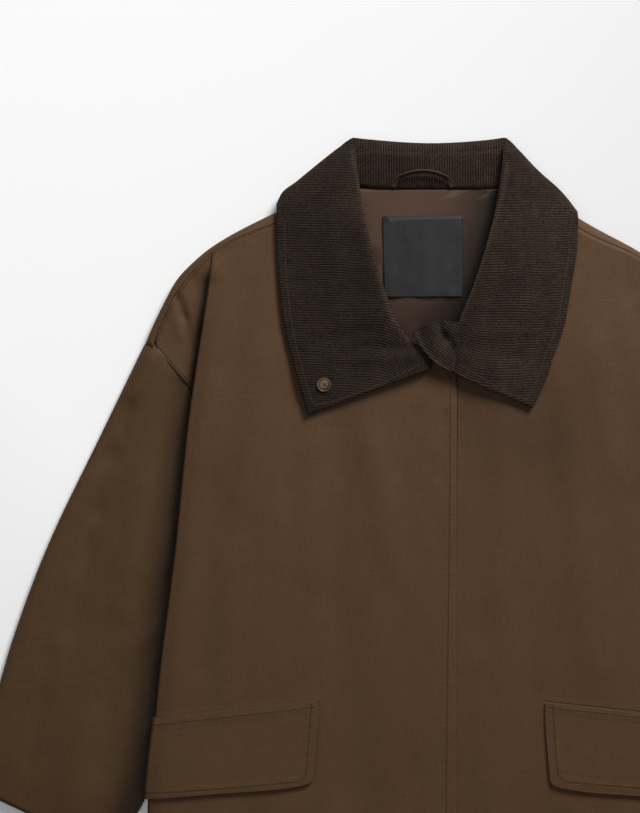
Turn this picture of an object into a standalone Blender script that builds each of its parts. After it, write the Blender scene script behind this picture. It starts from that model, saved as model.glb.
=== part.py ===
"""Waxed cotton jacket with a corduroy collar, lying on its back, front side up.
Axes: +Y to the collar, +X to the wearer's left, +Z up from the surface it lies on; the sizes below are in millimetres.
Every cloth piece is a closed wall: a grid of outer points worked out from a short table, and inner points one wall thickness behind it."""

import math

import bpy
import numpy as np

for old in list(bpy.data.objects):
    bpy.data.objects.remove(old, do_unlink=True)

MM = 0.001
WAX = 1.6  # waxed cotton with its lining
CORD = 1.8  # corduroy
UNDER = 1.2  # under collar
THIN = 1.0
SEAM = 0.3  # gap between sewn pieces
SETTLE = 13.0  # how far the wearer's left shoulder lies lower

# name: base colour, roughness
COLOURS = {
    "wax": ((0.078, 0.046, 0.027), 0.62),
    "cord": ((0.022, 0.014, 0.010), 0.9),
    "lining": ((0.075, 0.043, 0.031), 0.7),
    "satin": ((0.035, 0.035, 0.035), 0.4),
    "brass": ((0.20, 0.14, 0.07), 0.45),
}


# ---------- small tools ----------
def smooth(t):
    t = np.clip(t, 0.0, 1.0)
    return t * t * (3.0 - 2.0 * t)


def spline(table, t):
    """Catmull-Rom through the rows of a table at fractions t of its chord length, or of its first column."""
    p = np.asarray(table, float)
    k = np.r_[0.0, np.cumsum(np.linalg.norm(np.diff(p[:, :2], axis=0), axis=1))]
    return at(k / k[-1], p, t)


def at(k, p, t):
    """Hermite curve through the rows p at the knots k, read at t."""
    p = np.asarray(p, float)
    k = np.asarray(k, float)
    t = np.clip(np.asarray(t, float), k[0], k[-1])
    slope = np.diff(p, axis=0) / np.diff(k)[:, None]
    w = np.diff(k)[:, None]
    m = np.vstack([slope[:1], (slope[:-1] * w[1:] + slope[1:] * w[:-1]) / (w[1:] + w[:-1]), slope[-1:]])
    i = np.clip(np.searchsorted(k, t, side="right") - 1, 0, len(k) - 2)
    h = (k[i + 1] - k[i])[..., None]
    u = ((t - k[i])[..., None]) / h
    a, b = p[i], p[i + 1]
    return (2 * u**3 - 3 * u**2 + 1) * a + (u**3 - 2 * u**2 + u) * h * m[i] + (3 * u**2 - 2 * u**3) * b + (u**3 - u**2) * h * m[i + 1]


def read(table, x, column=1):
    """One column of a table against its first column, which rises."""
    rows = np.asarray(table, float)
    shape = np.shape(x)
    return at(rows[:, 0], rows[:, column : column + 1], np.ravel(x))[:, 0].reshape(shape)


def patch(top, bottom, left, right, nu, nv, us=None, vs=None):
    """A grid between four edges: u runs along top and bottom, v along left and right."""
    us = np.linspace(0, 1, nu) if us is None else np.asarray(us, float)
    vs = np.linspace(0, 1, nv) if vs is None else np.asarray(vs, float)
    t, b, l, r = (spline(c, s)[:, :2] for c, s in ((top, us), (bottom, us), (left, vs), (right, vs)))
    u, v = us[None, :, None], vs[:, None, None]
    g = (1 - v) * t[None] + v * b[None] + (1 - u) * l[:, None] + u * r[:, None]
    return g - ((1 - u) * (1 - v) * t[0] + u * (1 - v) * t[-1] + (1 - u) * v * b[0] + u * v * b[-1])


def lift(grid, z):
    return np.dstack([grid, np.broadcast_to(z, grid.shape[:2])])


def normals(points, quads):
    n = np.zeros_like(points)
    for q in quads:
        a, b, c, d = (points[i] for i in q)
        f = np.cross(c - a, d - b)
        for i in q:
            n[i] += f
    return n / np.maximum(np.linalg.norm(n, axis=1), 1e-12)[:, None]


def wall(name, grid, t, colour, mask=None, ring=False, flip=False, facing=()):
    """A closed wall from a grid of outer points (rows, columns, xyz), t thick inwards; mask leaves cells out, facing gives (row, column, direction) where folds meet in a point."""
    rows, cols = grid.shape[:2]
    pts = grid.reshape(-1, 3)
    quads = []
    for i in range(rows - 1):
        for j in range(cols if ring else cols - 1):
            if mask is not None and not mask[i][j]:
                continue
            k = (j + 1) % cols
            q = (i * cols + j, i * cols + k, (i + 1) * cols + k, (i + 1) * cols + j)
            quads.append(q[::-1] if flip else q)
    used = sorted({i for q in quads for i in q})
    new = {old: n for n, old in enumerate(used)}
    pts = pts[used]
    quads = [tuple(new[i] for i in q) for q in quads]
    n = normals(pts, quads)
    for i, j, way in facing:
        n[new[i * cols + j]] = np.array(way) / np.linalg.norm(way)
    t = np.broadcast_to(np.asarray(t, float), grid.shape[:2]).reshape(-1)[used]
    inner = pts - n * t[:, None]
    return solid(name, pts, inner, quads, colour)


def solid(name, pts, inner, quads, colour):
    # both faces of the wall take the same diagonal, so that a twisted cell can't cross itself
    m = len(pts)
    tris = []
    for a, b, c, d in quads:
        if np.linalg.norm(pts[a] - pts[c]) <= np.linalg.norm(pts[b] - pts[d]):
            tris += [(a, b, c), (a, c, d)]
        else:
            tris += [(a, b, d), (b, c, d)]
    count = {}
    for q in quads:
        for a, b in zip(q, q[1:] + q[:1]):
            count[(a, b)] = count.get((a, b), 0) + 1
    faces = tris + [tuple(i + m for i in q[::-1]) for q in tris]
    faces += [(b, a, a + m, b + m) for (a, b) in count if (b, a) not in count]
    return add(name, np.vstack([pts, inner]), faces, colour)


def add(name, verts, faces, colour):
    mesh = bpy.data.meshes.new(name)
    mesh.from_pydata([tuple(float(c) * MM for c in v) for v in verts], [], faces)
    mesh.validate()
    ob = bpy.data.objects.new(name, mesh)
    bpy.context.scene.collection.objects.link(ob)
    rgb, rough = COLOURS[colour]
    mat = bpy.data.materials.get(colour) or bpy.data.materials.new(colour)
    mat.use_nodes = True
    node = mat.node_tree.nodes["Principled BSDF"]
    node.inputs["Base Color"].default_value = (*rgb, 1.0)
    node.inputs["Roughness"].default_value = rough
    node.inputs["Metallic"].default_value = 1.0 if colour == "brass" else 0.0
    mesh.materials.append(mat)
    return ob


def other_side(grid):
    """The same grid on the wearer's left, where the shoulder lies a little lower."""
    g = grid.copy()
    g[..., 0] *= -1
    return settle(g)


def settle(g):
    g = g.copy()
    x, y = g[..., 0], g[..., 1]
    g[..., 1] = y - SETTLE * smooth((x - 95) / 80) * smooth((y - 120) / 170)
    return g


# ---------- tables, all for the wearer's right half (x below 0) ----------
# Front: y at the centre edge, fold edge x and y, chest height, return's height at the fold, seam or bend x and y, height there, shoulder seam x and y, height
FRONT = (
    # yE, xF, yF, top, ret, xG, yG, zG, xS, yS, zS
    (203, -227.9, 308.2, 15.4, 14.0, -231.0, 305.8, 14.0, -238.4, 300.3, 12.9),
    (176, -232.0, 276.0, 17.6, 13.2, -228.5, 277.5, 12.4, -257.5, 277.0, 12.8),
    (158, -236.2, 249.4, 19.0, 13.6, -229.5, 252.0, 12.2, -270.9, 257.8, 12.6),
    (141, -239.4, 228.4, 19.6, 13.8, -230.6, 231.0, 11.9, -280.6, 236.0, 12.4),
    (122, -243.1, 205.3, 20.0, 14.0, -233.0, 207.0, 11.6, -287.6, 222.0, 12.3),
    (88, -250.4, 157.5, 20.0, 14.2, -240.0, 152.2, 11.3, -290.6, 206.9, 12.2),
    (62, -255.2, 121.3, 20.0, 14.0, -236.9, 121.3, 10.7, 0, 0, 0),
    (34, -260.4, 69.8, 19.8, 13.8, -235.3, 69.8, 10.1, 0, 0, 0),
    (8, -265.0, 22.6, 19.6, 13.6, -234.8, 22.6, 9.9, 0, 0, 0),
    (-22, -269.0, -15.2, 19.2, 13.2, -234.8, -15.2, 9.7, 0, 0, 0),
    (-54, -273.8, -50.9, 18.6, 12.8, -235.0, -50.9, 9.2, 0, 0, 0),
    (-84, -278.2, -84.0, 18.0, 12.4, -231.0, -84.0, 6.8, 0, 0, 0),
    (-128, -284.1, -128.6, 17.2, 11.0, -236.0, -128.6, 0.0, 0, 0, 0),
    (-178, -288.5, -178.0, 16.6, 10.2, -247.0, -178.0, 0.0, 0, 0, 0),
    (-227, -294.7, -227.3, 16.0, 9.6, -262.0, -227.3, 0.0, 0, 0, 0),
    (-264, -297.9, -264.1, 15.2, 6.0, -269.9, -264.1, 0.0, 0, 0, 0),
    (-300, -298.2, -300.0, 14.4, 2.0, -274.1, -300.0, 0.0, 0, 0, 0),
    (-342, -297.2, -342.0, 13.4, 0.4, -276.2, -342.0, 0.0, 0, 0, 0),
    (-384, -296.1, -384.0, 12.2, 0.2, -277.2, -384.0, 0.0, 0, 0, 0),
    (-427, -295.1, -427.0, 11.0, 0.2, -278.2, -427.0, 0.0, 0, 0, 0),
)
LAST_SHOULDER = 5  # row of FRONT that runs along the drop seam
NECKLINE = ((26.2, 203.2), (-11.6, 205.3), (-53.6, 231.5), (-76.7, 278.8), (-90.3, 326.0), (-95.5, 371.0))
SHOULDER_SEAM = ((-95.5, 371.0), (-127.1, 354.0), (-161.7, 337.6), (-201.6, 322.9), (-227.9, 308.2))
SEAM_END = ((-227.9, 308.2), (-238.4, 300.3), (-257.5, 277.0), (-270.9, 257.8), (-280.6, 236.0), (-287.6, 222.0), (-290.6, 206.9))
SILHOUETTE = (
    (-298.5, 214.0), (-292.9, 228.4), (-286.7, 241.0), (-280.4, 253.6), (-274.1, 266.2), (-266.7, 278.8), (-257.2, 291.4), (-242.6, 304.0),
    (-224.7, 316.6), (-203.7, 329.0), (-181.7, 340.4), (-160.7, 349.8), (-137.6, 360.6), (-111.3, 372.0), (-90.3, 381.0),
)
BACK_NECK = ((-90.3, 381.0), (-83.0, 377.6), (-48.3, 373.8), (0.0, 373.8))
BACK_ARMHOLE = ((-298.5, 214.0), (-284.6, 168.5), (-263.6, 100.3), (-244.7, 5.8), (-236.2, -69.8))
SLEEVE_OUTER = ((-298.5, 214.0), (-349.8, 107.8), (-401.1, 1.6), (-446.0, -122.0), (-482.0, -251.5))
SLEEVE_INNER = ((-236.2, -69.8), (-250.0, -118.0), (-267.8, -166.0), (-298.2, -262.5), (-332.9, -321.8))
SLEEVE_HEAD = (
    (-298.5, 214.0), (-290.9, 206.3), (-275.1, 188.6), (-258.8, 171.0), (-240.8, 151.0), (-237.6, 121.3),
    (-235.9, 69.8), (-235.4, 22.6), (-235.4, -15.2), (-235.6, -50.9), (-236.2, -69.8),
)
CENTRE_Z = ((-430, 9.0), (-250, 10.2), (0, 10.6), (180, 10.8), (240, 12.0), (300, 13.6), (380, 14.6))
# Soft folds on the fronts: start x, y, end x, y, width, height
CHEST_FOLDS = (
    (-99, 103, -109, -62, 22, -2.2),
    (-61, 103, -36, -20, 20, 1.6),
    (-150, 60, -165, -120, 26, 1.8),
    (-200, 130, -215, -60, 20, -1.6),
    (-75, -240, -60, -400, 24, -1.6),
    (-150, -290, -170, -410, 26, 1.5),
)
SLEEVE_FOLDS = (
    (-316, 145, -335, 95, 12, -2.4),
    (-335, 95, -349, 35, 13, -2.8),
    (-349, 35, -375, -85, 14, -2.4),
    (-290, 200, -314, 155, 9, 1.6),
    (-375, -85, -400, -150, 16, -1.6),
    (-300, 20, -318, -120, 16, 1.8),
)


def folds(table, x, y):
    """Height that soft folds add at x, y: each one is a rounded ridge or trough along a line."""
    z = np.zeros(np.shape(x))
    for x0, y0, x1, y1, width, height in table:
        dx, dy = x1 - x0, y1 - y0
        length = math.hypot(dx, dy)
        s = ((x - x0) * dx + (y - y0) * dy) / length
        d = ((x - x0) * dy - (y - y0) * dx) / length
        past = np.maximum(0, np.maximum(-s, s - length))
        z += height * np.exp(-((d / width) ** 2) - (past / (1.6 * width)) ** 2)
    return z


BY_Y = sorted([(r[2], r[1], r[3], r[4]) for r in FRONT])


def fold_x(y):
    return read(BY_Y, y, 1)


def chest_z(x, y, under=False):
    """Height of the fronts' outer face: flat at the centre, fuller towards the side folds."""
    y = np.asarray(y, float)
    centre = read(CENTRE_Z, np.clip(y, -430, 380))
    side = read(BY_Y, np.clip(y, -427, 308), 2)
    edge = read(BY_Y, np.clip(y, -427, 308), 1)
    start = -34.0
    q = np.clip((start - x) / (start - edge), 0, 1)
    fade = smooth((start - x) / 30) * smooth((x - edge) / 22)
    z = centre + (side - centre) * smooth(q) + folds(CHEST_FOLDS, x, y) * fade
    return z - (2.3 * smooth((x + 62) / 26) if under else 0)


def neck_share():
    """Where the shoulder-neck point lies along the fronts' upper edge."""
    p = np.array(NECKLINE + SHOULDER_SEAM[1:])
    k = np.r_[0, np.cumsum(np.linalg.norm(np.diff(p, axis=0), axis=1))]
    return k[len(NECKLINE) - 1] / k[-1]


STEP = ((0.5, -0.2), (1.0, -0.7), (1.2, -1.1), (1.4, -1.4), (1.6, -1.7), (1.8, -2.0), (2.1, -2.3), (2.8, -2.5))  # along, down: where the fold starts
US = np.r_[0, 0.04, 0.11, neck_share() * np.array([0.36, 0.52, 0.68, 0.84, 1.0]), neck_share() + (1.0 - neck_share()) * np.array([0.18, 0.38, 0.58, 0.78, 0.93, 1.0])]


def front_grid(edge_x, under):
    """One front: chest, fold over the sleeve, return layer, and the shoulder part that comes out from under the fold."""
    table = np.asarray(FRONT, float)
    nt = len(table)
    us = US
    top = spline(NECKLINE + SHOULDER_SEAM[1:], us)[:, :2]
    near = top[:, 0] > -30.0
    top[near, 0] = -30.0 + (top[near, 0] + 30.0) * (edge_x + 30.0) / (NECKLINE[0][0] + 30.0)
    sections = []
    for i, (ye, xf, yf, zt, zr, xg, yg, zg, xs, ys, zs) in enumerate(table):
        f, g, s = np.array([xf, yf]), np.array([xg, yg]), np.array([xs, ys])
        turned = i > 0
        e = (g - f) / np.linalg.norm(g - f) if turned else np.array([1.0, 0.0])
        r = (zt - zr) / 2 if turned else 0.6
        a = f + e * r
        start = np.array([edge_x, ye])
        line = start + (a - start) * us[:, None]
        bump = (top - (np.array([edge_x, table[0][0]]) + (table[0][1:3] - np.array([edge_x, table[0][0]])) * us[:, None])) * max(0.0, 1 - i / 7.0)
        line = line + bump
        row = [(*p, float(chest_z(p[0], p[1], under))) for p in line]
        row[-1] = (*row[-1][:2], zt)
        if turned:
            for k in (50, 90, 130, 180):
                c, s_ = math.cos(math.radians(k)), math.sin(math.radians(k))
                row.append((*(f + e * (r - r * s_)), (zt + zr) / 2 + r * c))
            if i <= LAST_SHOULDER:
                rg = (zr - zg) / 2
                row.append((*(f + (g - f) * 0.6 + e * r * 0.3), zr))
                row.append((*(g - e * rg * 1.2), zr))
                row.append((*g, (zr + zg) / 2))
                h = g - e * rg * 1.2
                row.append((*h, zg))
                for q in (0.5, 1.0):
                    row.append((*(h + (s - h) * q), zg + (zs - zg) * q))
            else:
                toe = g - e * 5.0
                row.append((*(f + (toe - f) * 0.72), zr + (zg - zr) * (0.45 if zg > 7 else 0.25)))
                row.append((*toe, zg + (0.7 if zg > 7 else 0.15 if zg < 1 else 0.5)))
                row.append((*g, zg))
                row += [(*g, zg)] * 3
        else:
            end = np.array([xs, ys])
            way = (end - a) / np.linalg.norm(end - a)
            for d, h in STEP:
                row.append((*(a + way * d), zt + h))
            h = a + way * STEP[-1][0]
            for q in (0.5, 1.0):
                row.append((*(h + (end - h) * q), row[-1][2] + (zs - row[-1][2]) * q))
        sections.append(row)
    sec = np.array(sections)
    nc = len(us)
    last = nc + 10
    fine = np.array([0, 1, 1.5, 2, 3, 4, LAST_SHOULDER] + list(np.arange(LAST_SHOULDER + 1, nt)), float)
    flat = at(np.arange(nt), sec.reshape(nt, -1), fine).reshape(len(fine), last, 3)
    # the shoulder part ends at the drop seam, so rows past it must not bend its last rows
    head = sec[: LAST_SHOULDER + 1]
    keep = fine <= LAST_SHOULDER
    flat[keep] = at(np.arange(LAST_SHOULDER + 1), head.reshape(len(head), -1), fine[keep]).reshape(int(keep.sum()), last, 3)
    m = int(keep.sum()) - 1
    mask = [[j < nc + 6 or i < m for j in range(last - 1)] for i in range(len(fine) - 1)]
    flat[..., 2] = np.maximum(flat[..., 2], 0.0)
    return flat, mask, m


def front(side, edge_x, under):
    flat, mask, _ = front_grid(edge_x, under)
    g = flat if side < 0 else other_side(flat)
    name = "front_right" if side < 0 else "front_left"
    t = np.full(g.shape[:2], WAX)
    t[:3, len(US) - 1 :] = 0.8  # the fold starts here and is pressed thin
    t[0, len(US) - 2 :] = 0.5
    return wall(name, g, t, "wax", mask=mask, flip=side > 0)


def shoulder_edge():
    """The fronts' own edge points along the shoulder seam, from the drop seam up to the neck point."""
    g, _, m = front_grid(26.4, False)
    first = int(np.argmin(np.abs(US - neck_share())))
    row = g[0, first:]
    side = g[1 : m + 1, -1]
    return np.vstack([row, side])[::-1]


def back_raise(x, y):
    """The back lies over the collar's fall, so it is lifted there."""
    ax = np.abs(x)
    edge = 336 + 14 * smooth((ax - 60) / 95)
    near = smooth(1 - (edge - 12 - y) / 22)
    return 4.8 * near * smooth((186 - ax) / 20)


def back():
    """Both halves in one panel: flat on the surface, wrapped over the shoulders to the forward seam."""
    nn = 5
    own = shoulder_edge()
    keep = [0]
    for i in range(1, len(own)):
        if np.linalg.norm(own[i, :2] - own[keep[-1], :2]) > 11.0 or i == len(own) - 1:
            keep.append(i)
    own = own[keep]
    nu = len(own)
    seam = own[:, :2]
    su = np.r_[0.0, np.cumsum(np.linalg.norm(np.diff(seam, axis=0), axis=1))]
    su /= su[-1]
    sil = spline(SILHOUETTE, su)
    out = sil - seam
    out /= np.linalg.norm(out, axis=1)[:, None]
    edge = seam + out * (SEAM + 0.15)
    zt = own[:, 2]
    zb = back_raise(sil[:, 0], sil[:, 1])
    inward = -out
    rows = [np.c_[edge, zt]]
    for k in (10, 40, 65, 90):
        s, c = math.sin(math.radians(k)), math.cos(math.radians(k))
        z = (zt + zb) / 2 + (zt - zb) / 2 * (1.0 if k == 10 else c)
        rows.append(np.c_[edge + (sil - edge) * s, z])
    for k in (120, 150):
        s, c = math.sin(math.radians(k)), math.cos(math.radians(k))
        z = (zt + zb) / 2 + (zt - zb) / 2 * c
        rows.append(np.c_[sil + inward * 6.5 * (1 - s), z])
    flat_top = sil + inward * 7.0
    neck = spline(BACK_NECK, np.linspace(0, 1, nn))[1:]
    top_half = np.vstack([flat_top, neck])
    top = np.vstack([top_half, top_half[-2::-1] * (-1, 1)])
    side_low = [(r[5] + SEAM + 0.1, r[2]) for r in FRONT[11:]]
    left = np.array([tuple(top[0])] + [(x + 1.0, y) for x, y in BACK_ARMHOLE[1:]] + side_low)
    hem_y = FRONT[-1][2]
    bottom = ((left[-1][0], hem_y), (0, hem_y), (-left[-1][0], hem_y))
    n = len(top)
    u = np.r_[0, np.cumsum(np.linalg.norm(np.diff(top, axis=0), axis=1))]
    u /= u[-1]
    vs = np.r_[0, np.cumsum(np.linalg.norm(np.diff(left, axis=0), axis=1))]
    vs /= vs[-1]
    vs = np.sort(np.r_[vs, 0.03, 0.06, 0.09, vs[1] + (vs[2] - vs[1]) * 0.5])
    u2, v = u[None, :, None], vs[:, None, None]
    b = spline(bottom, u)[:, :2]
    lft = spline(left, vs)[:, :2]
    rgt = lft * (-1, 1)
    g = (1 - v) * top[None] + v * b[None] + (1 - u2) * lft[:, None] + u2 * rgt[:, None]
    g = g - ((1 - u2) * (1 - v) * top[0] + u2 * (1 - v) * top[-1] + (1 - u2) * v * b[0] + u2 * v * b[-1])
    main = lift(g, back_raise(g[..., 0], g[..., 1]))
    wraps = []
    for r in rows:
        full = np.zeros((n, 3))
        full[:nu] = r
        full[-nu:] = r[::-1] * (-1, 1, 1)
        full[nu : n - nu] = main[0, nu : n - nu]
        wraps.append(full)
    grid = settle(np.vstack([np.array(wraps), main]))
    k = len(rows)
    mask = [[(i >= k) or j < nu - 1 or j >= n - nu for j in range(n - 1)] for i in range(len(grid) - 1)]
    return wall("back", grid, WAX, "wax", mask=mask, flip=False)


def sleeve_top(x, y):
    """Height of a sleeve's upper layer: lower where the body lies over it."""
    edge = fold_x(np.clip(y, -427, 308))
    under = smooth((x - (edge - 26)) / 28)
    low = 9.6 - 3.2 * smooth((-20 - y) / 50)
    h = 12.4 - (12.4 - low) * under * smooth((190 - y) / 60)
    return h + folds(SLEEVE_FOLDS, x, y) * (1 - under)


RING = ((0.0, 0.5), (0.012, 0.83), (0.04, 1.0), (0.13, 1), (0.24, 1), (0.36, 1), (0.48, 1), (0.6, 1), (0.72, 1), (0.84, 1), (0.955, 1.0), (0.986, 0.83), (1.0, 0.5))


def sleeve(side):
    w = np.array([r[0] for r in RING])
    part = np.array([r[1] for r in RING])
    vs = np.r_[0, 0.035, 0.09, np.linspace(0.16, 1, 11)]
    cuff = (SLEEVE_OUTER[-1], SLEEVE_INNER[-1])
    up = patch(SLEEVE_HEAD, cuff, SLEEVE_OUTER, SLEEVE_INNER, 0, 0, us=w, vs=vs)
    low = patch(BACK_ARMHOLE, cuff, SLEEVE_OUTER, SLEEVE_INNER, 0, 0, us=w, vs=vs)
    h = sleeve_top(up[..., 0], up[..., 1])
    end = smooth((1 - vs)[:, None] / 0.1)
    h = h * (0.72 + 0.28 * end)
    top = lift(up, h * part[None, :])
    keep = [0, 1, 2, 4, 6, 8, 10, 11, 12]
    bottom = lift(low, (h * (1 - part[None, :])))[:, [k for k in reversed(keep) if 0 < k < 12]]
    grid = np.concatenate([top, bottom], axis=1)
    grid[..., 0] -= 0.35
    grid[..., 1] -= 0.25
    g = grid if side < 0 else other_side(grid)
    return wall("sleeve_right" if side < 0 else "sleeve_left", g, WAX, "wax", ring=True, flip=side < 0)


# ---------- collar ----------
# Stations round the neck: roll x, y, z; outer edge x, y; neck seam x, y, z
LEAF_A = (
    # wearer's right leaf, from the front end up to the shoulder
    (0.0, 186.0, 16.2, -129.6, 137.2, -11.0, 193.0),
    (-7.4, 203.2, 16.6, -138.6, 168.5, -19.0, 205.5),
    (-23.5, 214.7, 18.0, -146.0, 194.8, -36.0, 215.5),
    (-36.2, 234.7, 22.0, -152.8, 222.1, -51.5, 230.5),
    (-47.2, 262.0, 24.0, -157.0, 250.4, -65.8, 257.0),
    (-55.7, 287.2, 25.0, -159.6, 278.8, -75.8, 282.0),
    (-63.0, 313.4, 25.0, -161.2, 305.0, -83.8, 308.0),
    (-68.2, 336.5, 24.0, -161.9, 325.0, -88.8, 332.0),
    (-74.0, 364.0, 22.0, -162.0, 338.0, -90.8, 344.0),
)
LEAF_B = (
    # wearer's left leaf
    (-21.0, 181.0, 18.0, -104.6, 144.4, -33.0, 188.0),
    (-21.5, 200.0, 19.5, -119.7, 175.9, -34.5, 204.0),
    (-24.0, 219.0, 21.0, -126.0, 197.9, -40.0, 217.5),
    (-29.5, 240.0, 23.0, -135.5, 222.1, -51.5, 230.5),
    (-39.0, 262.0, 25.0, -141.5, 250.0, -65.8, 257.0),
    (-47.0, 285.0, 26.0, -146.0, 277.7, -75.8, 282.0),
    (-54.8, 310.0, 26.0, -149.8, 300.0, -83.8, 308.0),
    (-61.8, 336.5, 25.0, -151.4, 316.0, -88.8, 330.0),
    (-68.0, 364.0, 22.5, -151.6, 328.0, -90.8, 343.0),
)
# Corner over the shoulder: rows of points across, from the stand seam to the outer edge
CORNER_A = (
    ((-82.2, 394.5, 15.8), (-80.8, 398.6, 15.6), (-78.6, 401.0, 18.8), (-86.0, 398.0, 22.0), (-101.0, 390.5, 20.6), (-117.0, 380.5, 20.2), (-132.0, 369.0, 20.0), (-146.0, 358.0, 19.9), (-161.6, 347.5, 19.7)),
    ((-82.2, 404.5, 14.4), (-81.2, 410.8, 14.0), (-79.4, 414.2, 16.2), (-87.5, 412.5, 18.2), (-103.0, 404.0, 17.2), (-119.0, 393.0, 17.0), (-135.0, 380.5, 17.0), (-148.0, 367.5, 16.8), (-161.2, 354.6, 16.2)),
    ((-83.4, 411.8, 12.4), (-83.6, 419.5, 11.8), (-83.6, 426.4, 10.2), (-94.0, 420.2, 10.2), (-108.0, 409.4, 10.2), (-124.0, 396.2, 10.2), (-141.0, 382.2, 10.2), (-152.8, 369.4, 10.2), (-160.2, 357.4, 9.8)),
    ((-76.0, 411.6, 10.6), (-76.0, 420.0, 10.8), (-76.0, 426.6, 6.8), (-82.5, 421.5, 1.6), (-97.0, 408.5, 0.5), (-113.0, 394.5, 0.2), (-129.0, 380.5, 0.2), (-143.0, 366.5, 0.2), (-153.0, 352.0, 0.2)),
)
CORNER_NECK = ((-90.8, 356.0, 15.2), (-90.7, 366.5, 14.2), (-90.0, 377.5, 11.8), (-84.0, 377.4, 8.4))
# Back of the neck: roll x, y, z; outer edge x, y
BEHIND = ((-58.0, 424.8, 7.6, -112.0, 342.0), (-29.0, 422.4, 7.6, -55.0, 337.5), (0.0, 421.4, 7.6, 0.0, 336.0))
ACROSS = (0.0, 0.16, 0.36, 0.58, 0.8, 1.0)  # leaf columns, past the roll
LEAF_GAP = 2.4 + CORD + UNDER  # leaf's outer face over the front


def leaf_rows(table, chest):
    rows, necks = [], []
    for xr, yr, zr, xo, yo, xn, yn in table:
        r, o, n = np.array([xr, yr]), np.array([xo, yo]), np.array([xn, yn])
        e = (o - r) / np.linalg.norm(o - r)
        low = 0.9
        zn = float(chest_z(xn, yn)) + low
        back_way = (n - r) / np.linalg.norm(n - r)
        seam = r + back_way * max(0.34 * np.linalg.norm(n - r), 5.5)
        zs = max(zr - 5.8, float(chest_z(*seam)) + low + 0.3)
        row = [(*seam, zs), (*(r + back_way * 2.4), max(zr - 4.2, zs + 0.2)), (*r, zr)]
        start = r + e * 6.5
        for q in ACROSS:
            p = start + (o - start) * q
            base = float(chest_z(p[0], p[1])) + LEAF_GAP
            top = zr + 3.6
            row.append((*p, max(base, top + (base - top) * smooth(q * 1.05) + 0.6 * math.sin(math.pi * q))))
        rows.append(row)
        necks.append((xn, yn, zn))
    return rows, necks


def collar_grid():
    """All outer points of the fall, in stations from one front end round the neck to the other, and the neck seam's points."""
    ra, na = leaf_rows(LEAF_A, None)
    rb, nb = leaf_rows(LEAF_B, None)
    back_rows, back_necks = [], []
    for xr, yr, zr, xo, yo in BEHIND:
        r, o = np.array([xr, yr]), np.array([xo, yo])
        e = (o - r) / np.linalg.norm(o - r)
        row = [(xr, yr - 11.0, zr + 4.6), (xr, yr - 5.2, zr + 4.3), (xr, yr, zr)]
        start = r + e * 6.5
        row += [(*(start + (o - start) * q), 1.4 * (1 - smooth(q * 4)) + 0.2) for q in ACROSS]
        back_rows.append(row)
        y = float(read(((-90.3, 381.0), (-83.0, 377.6), (-48.3, 373.8), (0.0, 373.8)), xr, 1))
        back_necks.append((xr, y, 7.9))
    half_a = ra + [list(c) for c in CORNER_A] + back_rows
    corner_b = [[(x + 5.2 + 4.2 * smooth((-x - 84) / 70), y - 6.2 * smooth((-x - 84) / 30), z) for x, y, z in c] for c in CORNER_A]
    half_b = rb + corner_b + back_rows[:-1]
    neck_a = na + list(CORNER_NECK) + back_necks
    neck_b = nb + list(CORNER_NECK) + back_necks[:-1]
    a, b = np.array(half_a), np.array(half_b)
    b[..., 0] *= -1
    na_, nb_ = np.array(neck_a), np.array(neck_b)
    nb_[:, 0] *= -1
    return np.vstack([a, b[::-1]]), np.vstack([na_, nb_[::-1]])


def finer(grid, count):
    n = len(grid)
    t = np.linspace(0, n - 1, count)
    return at(np.arange(n), grid.reshape(n, -1), t).reshape((count,) + grid.shape[1:])


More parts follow.
